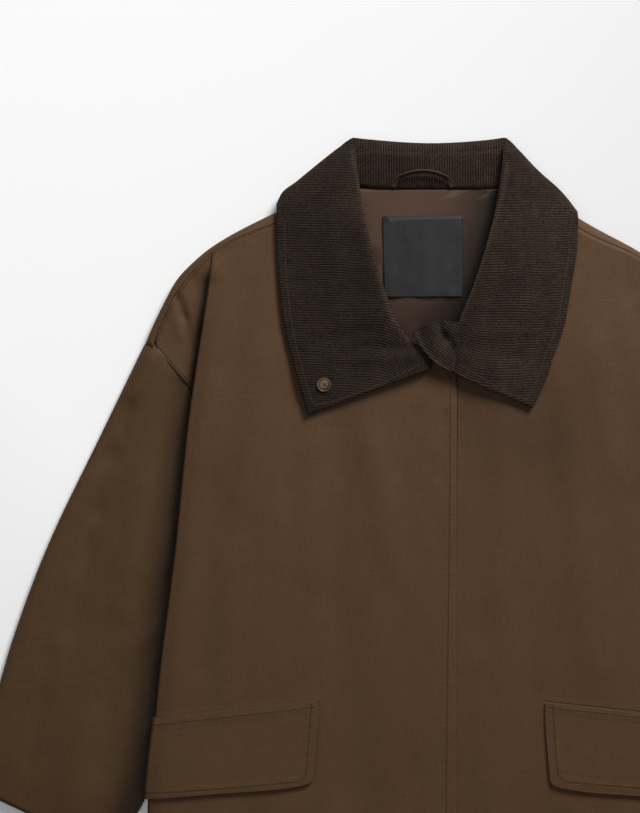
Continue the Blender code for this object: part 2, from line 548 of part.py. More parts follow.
def collar():
    grid, necks = collar_grid()
    n = len(grid)
    cells = [[True] * (grid.shape[1] - 1)] * (n - 1)
    fall = finer(grid, 2 * n - 1)
    fall[..., 2] = np.maximum(fall[..., 2], 0.15)  # nothing sinks below the back's underside
    t = np.full(fall.shape[:2], CORD)
    t[:, 0] = 1.0
    a, b = 2 * len(LEAF_A), 2 * n - 2 - 2 * len(LEAF_B)
    t[a - 3 : a + 8, :3] = 0.5
    t[b - 7 : b + 4, :3] = 0.5
    ka = 2 * (len(LEAF_A) + 2)
    kb = 2 * (n - 1 - len(LEAF_B) - 2)
    corner = [(k, j, way) for k, s in ((ka, 1), (kb, -1)) for j, way in ((0, (s, 0, 0)), (1, (s, 0, 0.2)), (2, ((0.7 if s > 0 else -0.52), 0.58, 0.45)))]
    corner += [(k, j, way) for k, s in ((ka - 1, 1), (kb + 1, -1)) for j, way in ((0, (s, 0, -0.3)), (1, (s, 0, -0.3)), (2, (s, 0.6, 0.2)))]
    corner += [(k, j, way) for q in (2, 3, 4) for k, s in ((ka - q, 1), (kb + q, -1)) for j, way in ((1, (0.8 * s, 0, -0.6)), (2, (s, 0.3, 0.2)))]
    wall("collar_fall", fall, t, "cord", flip=True, facing=corner)
    # under collar: the leaf part, one wall further in
    pts = fall.reshape(-1, 3)
    rows, cols = fall.shape[:2]
    quads = [(i * cols + j + 1, i * cols + j, (i + 1) * cols + j, (i + 1) * cols + j + 1) for i in range(rows - 1) for j in range(cols - 1)]
    nrm = normals(pts, quads).reshape(fall.shape)
    under = (fall - nrm * (CORD + SEAM + 0.25))[1:-1, 4:]
    under[:, -1] += (under[:, -2] - under[:, -1]) * 0.06
    wall("collar_under", under, UNDER, "cord", flip=True)
    # stand: from the fall's seam edge down to the neck seam
    top = fall[:, 0]
    nk = finer(necks[:, None, :], 2 * n - 1)[:, 0]
    first = fall[:, 1]
    away = top - first
    away /= np.linalg.norm(away, axis=1)[:, None]
    apart = np.full((len(top), 1), 1.3)
    apart[kb - 1 : kb + 4] = 2.4  # the wearer's left corner is the tighter one
    start = top + away * apart
    stand = np.stack([start, start + (nk - start) * 0.5, nk], axis=1)
    t = np.full(stand.shape[:2], CORD)
    k = len(LEAF_A)
    for c in (2 * k, 2 * n - 2 - 2 * len(LEAF_B)):
        t[c - 7 : c + 8] = 0.8
    t[:, 0] = 0.7
    wall("collar_stand", stand, t, "cord", flip=False)
    return fall


# ---------- inside the neck ----------
def lining_z(x, y):
    return WAX + 0.4 + THIN + 4.8 * smooth((y - 200) / 70)


def neck_lining():
    top = ((-84.0, 371.5), (0.0, 372.6), (84.0, 371.5))
    bottom = ((-46.0, 192.0), (0.0, 190.0), (46.0, 192.0))
    left = ((-84.0, 371.5), (-97.0, 340.0), (-88.0, 285.0), (-46.0, 192.0))
    g = patch(top, bottom, left, [(-x, y) for x, y in left], 11, 11)
    wall("neck_lining", lift(g, lining_z(g[..., 0], g[..., 1])), THIN, "lining", flip=True)


def label():
    """A plain woven square, stitched down on the lining."""
    a, b, c, d = (-50.9, 344.9), (33.0, 346.0), (32.3, 260.9), (-48.9, 260.6)
    g = patch((a, b), (d, c), (a, d), (b, c), 9, 9)
    z = lining_z(g[..., 0], g[..., 1]) + 0.45 + THIN
    wall("label", lift(g, z), THIN, "satin", flip=True)


LOOP = ((-40.4, 374.8, 0.0), (-38.6, 379.5, 0.2), (-34.0, 384.2, 0.5), (-24.0, 388.2, 0.9), (-9.5, 390.4, 1.0), (5.0, 388.4, 0.9), (14.8, 384.4, 0.5), (19.8, 379.8, 0.2), (21.9, 374.8, 0.0))


def hanger_loop():
    """A narrow folded strip: flat at its feet, turned on edge where it arches."""
    t = np.linspace(0, 1, 19)
    path = spline(LOOP, t)
    tangent = np.gradient(path[:, :2], axis=0)
    tangent /= np.linalg.norm(tangent, axis=1)[:, None]
    side = np.c_[-tangent[:, 1], tangent[:, 0]]
    tilt = np.radians(62) * smooth(path[:, 2] * 1.3)
    base = 7.9 + 4.7 * (path[:, 1] - 373.8) / 37.6
    mid = base + 2.0 + 3.0 * np.sin(tilt) + 1.6 * path[:, 2]
    w = 2.7
    a = np.c_[path[:, :2] + side * (w * np.cos(tilt))[:, None], mid + w * np.sin(tilt)]
    b = np.c_[path[:, :2] - side * (w * np.cos(tilt))[:, None], mid - w * np.sin(tilt)]
    wall("hanger_loop", np.stack([a, (a + b) / 2, b], axis=1), 1.5, "wax", flip=False)


def neck_tab():
    """Front end of the stand on the wearer's left, lapping over the other leaf."""
    top = ((26.0, 232.0), (13.5, 235.2), (-8.4, 230.9), (-19.0, 224.6))
    bottom = ((20.4, 183.0), (9.0, 189.4), (0.0, 196.3), (-7.4, 206.3), (-15.8, 215.8), (-18.8, 219.6))
    left = ((26.0, 232.0), (23.1, 218.8), (21.6, 208.0), (20.7, 198.0), (20.4, 183.0))
    right = ((-19.0, 224.6), (-19.9, 222.4), (-18.8, 219.6))
    g = patch(top, bottom, left, right, 9, 7)
    z = 24.6 - 2.8 * smooth((g[..., 0] - 1) / 18) - 0.8 * smooth((-8 - g[..., 0]) / 14)
    wall("neck_tab", lift(g, z), CORD, "cord", flip=False)


# ---------- pocket flaps ----------
def flap(side):
    """Lies on the front, from its free end to the side fold and a little round it."""
    free = ((-118.7, -163.3), (-118.1, -169.6), (-120.3, -207.4), (-123.3, -241.0))
    low = ((-123.3, -241.0), (-125.2, -245.4), (-129.2, -248.3), (-142.8, -251.0), (-223.7, -257.8))
    high = ((-118.7, -163.3), (-179.6, -168.5), (-267.8, -176.6))
    gap = 0.6 + WAX
    vs = np.array([0, 0.035, 0.07, 0.3, 0.55, 0.8, 0.93, 1.0])

    def turn(y):
        return float(fold_x(y)), float(read(BY_Y, y, 2)), float(read(BY_Y, y, 3))

    ends = []
    for q in vs:
        y = -178.6 + (-263.4 + 178.6) * q
        xf, zt, zr = turn(y)
        ends.append((xf + (zt - zr) / 2, y))
    us = np.r_[0, 0.02, 0.05, 0.12, np.linspace(0.22, 1, 9)]
    g = patch(high[:2] + ((-230.0, -173.2), ends[0]), low + (ends[-1],), free, ends, 0, 0, us=us, vs=vs)
    z = chest_z(g[..., 0], g[..., 1]) + gap
    z += 0.9 * smooth((vs[:, None] - 0.1) / 0.9) * np.ones_like(g[..., 0])
    rows = lift(g, z)
    out = []
    for i, (row, (xe, y)) in enumerate(zip(rows, ends)):
        xf, zt, zr = turn(y)
        r = (zt - zr) / 2
        full = [tuple(p) for p in row]
        full[-1] = (xe, y, zt + gap)
        for k in (35, 65, 95, 120):
            s, c = math.sin(math.radians(k)), math.cos(math.radians(k))
            full.append((xf + r - (r + gap + 0.5) * s, y, (zt + zr) / 2 + (r + gap + 0.3) * c))
        out.append(full)
    grid = np.array(out)
    if side > 0:
        grid[..., 1] -= 2.7
        grid = other_side(grid)
    wall("flap_right" if side < 0 else "flap_left", grid, WAX, "wax", flip=side > 0)


# ---------- snap cap ----------
CAP = ((7.5, 0.0), (7.6, 1.1), (7.0, 1.9), (6.2, 2.0), (5.7, 1.6), (3.6, 2.1), (1.5, 2.2), (1.0, 1.6))  # radius, height
SNAP = (-112.5, 168.5)


def snap_cap(fall):
    pts = fall[:18, 3:].reshape(-1, 3)
    d = np.linalg.norm(pts[:, :2] - SNAP, axis=1)
    near = pts[np.argsort(d)[:8]]
    fit, *_ = np.linalg.lstsq(np.c_[near[:, :2], np.ones(len(near))], near[:, 2], rcond=None)
    base = fit[0] * SNAP[0] + fit[1] * SNAP[1] + fit[2]
    up = np.array([-fit[0], -fit[1], 1.0])
    up /= np.linalg.norm(up)
    ax = np.cross([0, 1.0, 0], up)
    ax /= np.linalg.norm(ax)
    ay = np.cross(up, ax)
    centre = np.array([*SNAP, base]) + up * 0.5
    n = 32
    verts, faces = [], []
    for r, h in CAP:
        for k in range(n):
            a = 2 * math.pi * k / n
            verts.append(centre + ax * r * math.cos(a) + ay * r * math.sin(a) + up * h)
    for i in range(len(CAP) - 1):
        for k in range(n):
            m = (k + 1) % n
            faces.append((i * n + k, i * n + m, (i + 1) * n + m, (i + 1) * n + k))
    faces.append(tuple(range(n - 1, -1, -1)))
    faces.append(tuple((len(CAP) - 1) * n + k for k in range(n)))
    add("snap_cap", verts, faces, "brass")


def main():
    front(-1, 26.4, False)
    front(1, 6.0, True)
    back()
    sleeve(-1)
    sleeve(1)
    fall = collar()
    neck_tab()
    neck_lining()
    label()
    hanger_loop()
    flap(-1)
    flap(1)
    snap_cap(fall)


main()
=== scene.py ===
"""A waxed cotton jacket laid flat with its front up: corduroy collar, lapped fronts, dropped sleeves,
pocket flaps, a snap on one collar leaf, a locker loop and a bare label.

Sizes are in millimetres until they reach a mesh, which is in metres. The wearer's right is at -x and the
collar at +y.
"""

import math
from collections import namedtuple

import bmesh
import bpy
import numpy as np
from mathutils import Matrix, Vector
from mathutils.bvhtree import BVHTree


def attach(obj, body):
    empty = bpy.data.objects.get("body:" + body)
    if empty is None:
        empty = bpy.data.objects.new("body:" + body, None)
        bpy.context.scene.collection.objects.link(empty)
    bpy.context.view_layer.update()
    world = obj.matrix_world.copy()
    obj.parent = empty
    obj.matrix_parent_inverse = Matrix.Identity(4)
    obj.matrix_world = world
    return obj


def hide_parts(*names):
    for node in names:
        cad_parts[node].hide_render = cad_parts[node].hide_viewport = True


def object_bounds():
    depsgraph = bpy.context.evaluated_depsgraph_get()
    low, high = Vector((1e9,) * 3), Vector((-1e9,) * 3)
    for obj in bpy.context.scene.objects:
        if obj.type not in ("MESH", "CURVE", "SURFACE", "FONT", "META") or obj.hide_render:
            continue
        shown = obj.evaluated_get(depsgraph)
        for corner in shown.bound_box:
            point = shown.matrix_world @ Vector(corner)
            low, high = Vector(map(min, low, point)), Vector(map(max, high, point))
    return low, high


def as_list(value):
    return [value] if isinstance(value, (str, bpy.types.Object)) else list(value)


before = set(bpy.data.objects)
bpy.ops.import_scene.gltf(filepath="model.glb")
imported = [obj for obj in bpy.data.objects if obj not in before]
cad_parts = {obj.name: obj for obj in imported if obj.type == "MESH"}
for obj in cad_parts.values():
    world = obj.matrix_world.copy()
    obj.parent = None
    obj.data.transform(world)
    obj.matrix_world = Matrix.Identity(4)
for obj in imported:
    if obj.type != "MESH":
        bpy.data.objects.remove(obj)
cad_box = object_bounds()
MM = 0.001  # one millimetre, in metres


# ---------- shader helpers ----------
class Socket:
    """A node's output that takes part in Python sums."""

    def __init__(self, tree, socket):
        self.tree, self.socket = tree, socket

    def maths(self, operation, a, b=None):
        inputs = {0: a} if b is None else {0: a, 1: b}
        return node(self.tree, "ShaderNodeMath", {"operation": operation}, inputs)

    def __add__(self, other):
        return self.maths("ADD", self, other)

    __radd__ = __add__

    def __sub__(self, other):
        return self.maths("SUBTRACT", self, other)

    def __rsub__(self, other):
        return self.maths("SUBTRACT", other, self)

    def __mul__(self, other):
        return self.maths("MULTIPLY", self, other)

    __rmul__ = __mul__

    def __truediv__(self, other):
        return self.maths("DIVIDE", self, other)

    def __pow__(self, other):
        return self.maths("POWER", self, other)

    def __lt__(self, other):
        return self.maths("LESS_THAN", self, other)

    def __gt__(self, other):
        return self.maths("GREATER_THAN", self, other)

    def sine(self):
        return self.maths("SINE", self)

    def size(self):
        return self.maths("ABSOLUTE", self)

    def clipped(self):
        return node(self.tree, "ShaderNodeClamp", {}, {0: self})


def node(tree, kind, settings, inputs, out=0):
    """Adds one node: settings first, then each socket's value or link."""
    n = tree.nodes.new(kind)
    for key, value in settings.items():
        setattr(n, key, value)
    for key, value in inputs.items():
        if isinstance(value, Socket):
            tree.links.new(value.socket, n.inputs[key])
        else:
            n.inputs[key].default_value = value
    return Socket(tree, n.outputs[out])


def material(name, **sockets):
    """A new material's tree; the Principled shader's plain values are set straight on its own sockets."""
    m = bpy.data.materials.new(name)
    m.use_nodes = True
    shader = m.node_tree.nodes["Principled BSDF"]
    for key, value in sockets.items():
        shader.inputs[key.replace("_", " ")].default_value = value
    return m, m.node_tree, shader


def wire(tree, shader, **sockets):
    """Links what varies to the Principled shader's sockets."""
    for key, value in sockets.items():
        tree.links.new(value.socket, shader.inputs[key.replace("_", " ")])


def place(tree):
    """Object coordinates in millimetres: the vector, and its x, y and z."""
    vector = node(tree, "ShaderNodeTexCoord", {}, {}, 3)
    vector = node(tree, "ShaderNodeVectorMath", {"operation": "SCALE"}, {0: vector, 3: 1 / MM})
    split = node(tree, "ShaderNodeSeparateXYZ", {}, {0: vector}).socket.node
    return vector, *(Socket(tree, split.outputs[i]) for i in range(3))


def noise(tree, vector, scale, stretch=(1, 1, 1), detail=3.0, rough=0.5):
    """Noise of about one lump in 1/scale millimetres, 0 to 1."""
    moved = node(tree, "ShaderNodeVectorMath", {"operation": "MULTIPLY"}, {0: vector, 1: stretch})
    inputs = {"Vector": moved, "Scale": scale, "Detail": detail, "Roughness": rough}
    return node(tree, "ShaderNodeTexNoise", {}, inputs)


def stored(tree, name):
    """A value that the piece's mesh keeps at its points."""
    return node(tree, "ShaderNodeAttribute", {"attribute_name": name}, {}, 2)


def tint(tree, factor, first, second):
    """From the first colour at 0 to the second at 1."""
    inputs = {0: factor, 6: (*first, 1), 7: (*second, 1)}
    return node(tree, "ShaderNodeMix", {"data_type": "RGBA"}, inputs, 2)


def shade(tree, colour, factor):
    """colour times a number that varies."""
    return node(tree, "ShaderNodeVectorMath", {"operation": "SCALE"}, {0: colour, 3: factor})


def bump(tree, height, depth, normal=None):
    """Height 0 to 1, depth in millimetres."""
    inputs = {"Height": height, "Distance": depth * MM, "Strength": 1.0}
    if normal is not None:
        inputs["Normal"] = normal
    return node(tree, "ShaderNodeBump", {}, inputs)


def near(value, width):
    """1 where value is 0, falling to 0 over width."""
    return (1.0 - (value / width).size()).clipped()


# ---------- finishes ----------
WAX_DARK, WAX_LIGHT = (0.056, 0.0277, 0.0114), (0.084, 0.0438, 0.0206)
SLEEVE_DARK, SLEEVE_LIGHT = (0.051, 0.0258, 0.0094), (0.076, 0.0405, 0.0168)
TAPE_DARK, TAPE_LIGHT = (0.026, 0.014, 0.007), (0.042, 0.024, 0.0125)
# The corduroy's groove colour is near black: painted shade between the wales
CORD_GROOVE_SHADE, CORD_TOP = (0.0022, 0.0014, 0.0009), (0.054, 0.0345, 0.0245)
LINING_DARK, LINING_LIGHT = (0.046, 0.0245, 0.0145), (0.068, 0.037, 0.0225)
SATIN_DARK, SATIN_LIGHT = (0.008, 0.008, 0.008), (0.019, 0.019, 0.0193)
BRASS_BRIGHT, BRASS_DULL = (0.160, 0.100, 0.060), (0.022, 0.014, 0.009)
BROWN_THREAD_DARK, BROWN_THREAD_LIGHT = (0.048, 0.026, 0.012), (0.086, 0.050, 0.027)
COLLAR_THREAD_DARK, COLLAR_THREAD_LIGHT = (0.030, 0.020, 0.015), (0.095, 0.070, 0.056)
BOARD_LIGHT, BOARD_SHADED = (0.912, 0.912, 0.910), (0.530, 0.530, 0.530)
BOARD_POINT, BOARD_WAY = (450.0, 300.0), (0.93, 0.69)  # -x and y of a point left of the jacket, and a way that painted shade darkens the board, from before the point, over this length
BOARD_START, BOARD_RUN = 60.0, 1000.0  # that way the board darkens, from before the point, over this length
WALE = 2.67  # corduroy's pitch
SHEEN_WAX, SHEEN_CORD = (1.0, 0.80, 0.62, 1), (1.0, 0.86, 0.78, 1)
STITCH_GROOVE, SEAM_GROOVE, PUCKER = 1.2, 0.9, 7.0  # half widths beside a stitch line and a seam
FOLD_PAINTED_SHADE, LINING_PAINTED_SHADE, GROOVE_PAINTED_SHADE = 0.72, 0.86, 0.34  # share of the colour taken off there as painted shade
BACK_SHIFT, BACK_HALF, BACK_LOW = 2.5, 77.0, 403.5  # the fall behind the neck: shift to -x, half width, low y
UNDER_TOP, UNDER_LOW = 8.5, 330.0  # the fall's lower layer there: highest z, lowest y
SIDE_SHADE_SHIFT, SIDE_SHADE_RUN = 60.0, 120.0  # shade is painted on the corduroy towards -x: where the change starts, as -x, and its width
SHADE_LOW, SHADE_RISE = 205.0, 80.0  # painted shade makes the lining darkest at this y, and is gone this much higher
RIM, DIMPLE = 5.2, 0.9  # radii of the dull rings in the snap's cap
SNAP = (-112.5, 168.5)  # middle of the snap's cap


def waxed_cotton(name, dark=WAX_DARK, light=WAX_LIGHT, stitched=False):
    """Close-woven cotton with a dry wax: broad mottling, fine yarns and a dull sheen."""
    m, tree, shader = material(name, Sheen_Weight=0.03, Sheen_Roughness=0.5, Specular_IOR_Level=0.16)
    shader.inputs["Sheen Tint"].default_value = SHEEN_WAX
    vector = place(tree)[0]
    broad = noise(tree, vector, 0.012, detail=4.0, rough=0.6)
    cloud = noise(tree, vector, 0.055, detail=3.0, rough=0.55)
    warp = noise(tree, vector, 0.55, (3.2, 0.10, 1.0), detail=2.0)
    weft = noise(tree, vector, 0.55, (0.10, 3.2, 1.0), detail=2.0)
    grain = noise(tree, vector, 1.4, detail=2.0, rough=0.7)
    mottle = (broad * 0.5 + cloud * 0.3 + warp * 0.14 + weft * 0.14 - 0.05).clipped()
    colour = tint(tree, mottle, dark, light)
    yarn = grain * 0.85 + warp * 0.38 + weft * 0.38 + 0.195
    height = grain * 0.5 + warp * 0.5 + weft * 0.4
    normal = bump(tree, height, depth=0.16)
    # painted shade in the folds and beside raised parts
    yarn = yarn * (1.0 - stored(tree, "painted_fold_shade") * FOLD_PAINTED_SHADE)
    if stitched:
        line, by_line = stored(tree, "stitch_line"), stored(tree, "by_stitch_line")
        seam, by_seam = stored(tree, "stitch_line_2"), stored(tree, "by_stitch_line_2")
        by_line, by_seam = by_line > 0.5, by_seam > 0.5
        groove = (near(line, STITCH_GROOVE) * by_line + near(seam, SEAM_GROOVE) * by_seam).clipped()
        lumps = noise(tree, vector, 0.16, detail=1.0)
        pull = lumps * (near(line, PUCKER) * by_line + near(seam, PUCKER) * by_seam).clipped()
        normal = bump(tree, 1.0 - groove * 0.8 + pull * 1.5, depth=0.5, normal=normal)
        # painted shade in the grooves beside the stitch lines and seams
        yarn = yarn * (1.0 - groove * GROOVE_PAINTED_SHADE)
    colour = shade(tree, colour, yarn)
    rough = grain * 0.10 + cloud * 0.08 + 0.56
    wire(tree, shader, Base_Color=colour, Roughness=rough, Normal=normal)
    return m


def corduroy(name, across):
    """Rounded wales with a worn nap, a highlight painted along the leaves' rolls and the tab's edge, and
    shade painted towards -x.

    across names what the wales are counted along: x behind the neck, and on the leaves and the tab the
    row that their mesh keeps. On the leaves' piece they turn to x where it runs behind the neck.
    """
    m, tree, shader = material(name, Sheen_Weight=0.08, Sheen_Roughness=0.4, Specular_IOR_Level=0.08)
    shader.inputs["Sheen Tint"].default_value = SHEEN_CORD
    vector, x, y, z = place(tree)
    wander = noise(tree, vector, 0.020, detail=1.0) * 5.0 + noise(tree, vector, 0.09, detail=1.0) * 0.9
    if across == "behind":
        row = x + wander * 0.5
    elif across == "leaves":
        low = (z < UNDER_TOP) * (y > UNDER_LOW)
        behind = (((x + BACK_SHIFT).size() < BACK_HALF) * (y > BACK_LOW) + low).clipped()
        row = stored(tree, "wale_row") + wander
        row = row * (1.0 - behind) + (x + wander * 0.5) * behind
    else:
        row = stored(tree, "wale_row") + wander * 0.6
    wave = (row * (2 * math.pi / WALE)).sine() * 0.5 + 0.5
    rib = wave ** 0.6
    nap = noise(tree, vector, 0.75, detail=4.0, rough=0.75)
    tuft = noise(tree, vector, 0.28, detail=2.0, rough=0.6)
    patch = noise(tree, vector, 0.016, detail=3.0, rough=0.6)
    worn = noise(tree, vector, 0.06, detail=3.0, rough=0.6)
    # painted highlight along the leaves' rolls and the tab's edge
    edge = stored(tree, "painted_edge_highlight")
    fleck = (nap * 4.0 + tuft * 1.5 - 1.95).clipped()
    # painted shade: the corduroy is drawn darker towards -x
    side_shade = ((x + SIDE_SHADE_SHIFT) / SIDE_SHADE_RUN).clipped() * 0.24 + 0.70
    pile = (rib * 0.86 + 0.08) * fleck * side_shade
    wear_and_highlight = patch * 1.1 + worn * 0.9 - 0.2 + edge * 0.8
    tone = (pile * wear_and_highlight + nap * 0.07).clipped()
    colour = tint(tree, tone, CORD_GROOVE_SHADE, CORD_TOP)
    height = rib * (nap * 0.5 + tuft * 0.35 + 0.5)
    rough = nap * 0.12 + 0.8
    wire(tree, shader, Base_Color=colour, Roughness=rough, Normal=bump(tree, height, depth=0.45))
    return m


def lining_cloth():
    """Plain plum-brown weave, with shade painted in low in the neck and beside the leaf."""
    m, tree, shader = material("lining_weave", Sheen_Weight=0.04, Specular_IOR_Level=0.15)
    vector, _, y, _ = place(tree)
    broad = noise(tree, vector, 0.02, detail=3.0)
    warp = noise(tree, vector, 0.9, (3.0, 0.14, 1.0), detail=2.0)
    weft = noise(tree, vector, 0.9, (0.14, 3.0, 1.0), detail=2.0)
    yarn = (broad * 0.7 + warp * 0.25 + weft * 0.25 - 0.1).clipped()
    colour = tint(tree, yarn, LINING_DARK, LINING_LIGHT)
    painted_neck_shade = stored(tree, "painted_fold_shade")
    # painted shade: darker low in the neck, and by the leaf's roll and the tab
    lit = ((y - SHADE_LOW) / SHADE_RISE).clipped() * 0.64 + 0.40
    colour = shade(tree, colour, lit * (1.0 - painted_neck_shade * LINING_PAINTED_SHADE))
    rough = broad * 0.1 + 0.6
    wire(tree, shader, Base_Color=colour, Roughness=rough, Normal=bump(tree, warp + weft, depth=0.08))
    return m


def label_satin():
    """Black satin with fine floats along x and a soft sheen."""
    m, tree, shader = material("label_satin", Sheen_Weight=0.04, Specular_IOR_Level=0.2)
    vector = place(tree)[0]
    floats = noise(tree, vector, 0.8, (0.25, 4.0, 1.0), detail=2.0)
    cloud = noise(tree, vector, 0.045, (1.6, 0.8, 1.0), detail=3.0)
    sheen = (floats * 0.5 + cloud * 1.1 - 0.3).clipped()
    colour = tint(tree, sheen, SATIN_DARK, SATIN_LIGHT)
    rough = cloud * 0.12 + 0.52
    wire(tree, shader, Base_Color=colour, Roughness=rough, Normal=bump(tree, floats, depth=0.10))
    return m


def antique_brass():
    """Aged brass, dull in the rings round the cap's rim and its dimple."""
    m, tree, shader = material("antique_brass", Metallic=0.75)
    vector, x, y, _ = place(tree)
    speck = noise(tree, vector, 0.8, detail=4.0, rough=0.7)
    radius = ((x - SNAP[0]) * (x - SNAP[0]) + (y - SNAP[1]) * (y - SNAP[1])) ** 0.5
    dull = (near(radius - RIM, 1.1) + near(radius - DIMPLE, 0.6) * 0.7).clipped()
    aged = (dull * 0.75 + speck * 0.35).clipped()
    colour = tint(tree, aged, BRASS_BRIGHT, BRASS_DULL)
    rough = speck * 0.25 + 0.28
    wire(tree, shader, Base_Color=colour, Roughness=rough, Normal=bump(tree, speck, depth=0.05))
    return m


def thread(name, dark, light):
    """Twisted sewing thread."""
    m, tree, shader = material(name, Specular_IOR_Level=0.15, Sheen_Weight=0.03)
    vector = place(tree)[0]
    twist = noise(tree, vector, 1.6, detail=2.0)
    wire(tree, shader, Base_Color=tint(tree, twist, dark, light), Roughness=twist * 0.2 + 0.5)
    return m


def table_top():
    """A pale board, a little darker towards +x and +y: painted shade that evens out the light on it."""
    m, tree, shader = material("table_top", Roughness=0.9, Specular_IOR_Level=0.1)
    vector, x, y, _ = place(tree)
    along = (x + BOARD_POINT[0]) * BOARD_WAY[0] + (y - BOARD_POINT[1]) * BOARD_WAY[1]
    away = (along + BOARD_START) / BOARD_RUN + noise(tree, vector, 0.01) * 0.02
    wire(tree, shader, Base_Color=tint(tree, away.clipped(), BOARD_LIGHT, BOARD_SHADED))
    return m


# ---------- forms ----------
def smooth(t):
    """0 to 1 with level ends."""
    t = np.clip(t, 0, 1)
    return t * t * (3 - 2 * t)


# Soft troughs and ridges in the cloth, in mm: start x, y, end x, y, half width, height
FRONT_CREASES = (
    # wearer's right front
    (-266, 260, -258, 239, 3.5, -0.75),
    (-258, 239, -250, 206, 4.0, -0.8),
    (-272, 252, -262, 222, 5.0, 0.45),
    (-256, 262, -246, 226, 4.5, 0.4),
    (-249, 284, -244, 262, 4.0, -0.35),
    (-226, 286, -236, 240, 9, 0.6),
    (-196, 262, -214, 190, 14, -0.7),
    (-176, 190, -196, 60, 18, 0.9),
    (-139, 160, -150, 60, 14, -0.6),
    (-92, 118, -105, -50, 17, -1.0),
    (-61, 103, -40, -20, 15, 0.9),
    (-122, 96, -128, -20, 15, 0.7),
    (-16, 136, -34, 78, 7, -0.5),
    (14, 138, 7, 112, 3.2, -0.45),
    (11, 118, 4, 96, 3.0, 0.4),
    (16, 92, 8, 74, 3.0, -0.4),
    (8, 24, 3, 8, 3.0, -0.35),
    (-230, 60, -240, -120, 16, -0.8),
    (-205, -20, -214, -150, 16, 0.7),
    (-60, -60, -52, -230, 20, 0.7),
    (-96, -90, -101, -150, 16, -0.6),
    (-20, -250, -30, -400, 17, -0.7),
    (-100, -290, -92, -420, 18, 0.8),
    (-190, -290, -182, -415, 18, -0.8),
    # wearer's left front
    (252, 246, 246, 206, 8, -0.8),
    (212, 262, 226, 196, 13, -0.8),
    (172, 200, 188, 84, 17, 0.9),
    (118, 150, 132, 20, 17, -0.9),
    (76, 120, 66, -40, 18, 0.8),
    (60, 60, 52, -90, 15, -0.6),
    (150, 10, 166, -120, 18, 0.8),
    (224, 40, 236, -130, 16, -0.8),
    (96, -60, 104, -150, 17, -0.6),
    (52, -180, 60, -330, 19, 0.7),
    (120, -300, 112, -420, 18, -0.8),
    (204, -296, 214, -415, 17, 0.8),
)
SLEEVE_CREASES = (
    # on the wearer's right sleeve; the left one's are shifted a little
    (-316, 145, -335, 95, 8, -0.9),
    (-335, 95, -349, 35, 8, -1.0),
    (-349, 35, -378, -85, 9, -0.9),
    (-292, 196, -312, 158, 7, 0.8),
    (-330, 110, -352, 20, 7, 0.7),
    (-268, 110, -276, 30, 9, -0.6),
    (-300, 60, -322, -60, 13, 0.8),
    (-282, -40, -300, -130, 10, -0.7),
    (-372, -40, -398, -140, 13, 0.8),
    (-330, -130, -346, -230, 13, -0.8),
    (-398, -120, -420, -220, 10, -0.8),
    (-360, -190, -380, -280, 14, 0.9),
    (-262, -60, -300, -100, 9, 0.6),
)
LEAF_CREASES = (
    (-128, 352, -138, 280, 14, -0.7),
    (-92, 330, -104, 250, 14, 0.6),
    (-64, 226, -116, 214, 8, -0.7),
    (-26, 196, -78, 194, 6, 0.6),
    (-30, 206, -70, 208, 5, -0.6),
    (-120, 220, -134, 172, 12, 0.8),
    (128, 330, 138, 262, 14, -0.6),
    (88, 318, 100, 240, 14, 0.7),
    (40, 206, 92, 196, 9, -0.6),
    (46, 222, 100, 224, 8, 0.5),
    (112, 214, 110, 164, 11, -0.6),
)
TAB_CREASES = ((8, 231, 12, 218, 3.5, -1.3), (12, 218, 22, 200, 4.0, -1.5), (-3, 226, 2, 206, 5.0, 0.8))
LABEL_CREASES = (
    (-30, 316, -36, 296, 5, -0.5),
    (24, 316, 20, 300, 5, -0.4),
    (20, 262, 28, 240, 6, 0.5),
    (-24, 262, -30, 242, 6, -0.5),
    (-6, 300, -2, 250, 10, 0.5),
)
LINING_CREASES = ((-60, 330, -40, 250, 12, -0.8), (50, 330, 40, 250, 12, 0.8), (-8, 228, 10, 214, 7, -0.8))


def mirrored(table, right=5.0, up=-12.0, share=0.9):
    """The creases for the other side, shifted and a little flatter so that the two sides differ."""
    return tuple(
        (-x0 + right, y0 + up, -x1 + right, y1 + up, width, height * share)
        for x0, y0, x1, y1, width, height in table
    )


def relief(table, x, y):
    """Height of all of a table's creases at x, y: each fades out across its line and past its ends."""
    z = np.zeros_like(x)
    for x0, y0, x1, y1, width, height in table:
        dx, dy = x1 - x0, y1 - y0
        length = math.hypot(dx, dy)
        along = ((x - x0) * dx + (y - y0) * dy) / length
        across = ((x - x0) * dy - (y - y0) * dx) / length
        past = np.maximum(0, np.maximum(-along, along - length))
        z += height * np.exp(-((across / width) ** 2) - (past / (1.5 * width)) ** 2)
    return z


def beside(xy, lines, reach=9.0):
    """Signed distance of points to the nearest of some bent lines, and 1 where a line runs beside them.

    A point counts as beside a line when it is within reach and not past the line's ends.
    """
    best, sign, valid = np.full(len(xy), 1e3), np.ones(len(xy)), np.zeros(len(xy))
    for line in lines:
        line = np.array(line, float)
        for k, (a, b) in enumerate(zip(line[:-1], line[1:])):
            d = b - a
            free = ((xy - a) @ d) / (d @ d)
            off = xy - a - np.clip(free, 0, 1)[:, None] * d
            dist = np.hypot(off[:, 0], off[:, 1])
            cross = d[0] * (xy[:, 1] - a[1]) - d[1] * (xy[:, 0] - a[0])
            inside = (dist < reach) & ((free > 0) | (k > 0)) & ((free < 1) | (k < len(line) - 2))
            closer = dist < best
            best[closer], sign[closer], valid[closer] = dist[closer], np.sign(cross[closer]), inside[closer]
    return best * sign, valid


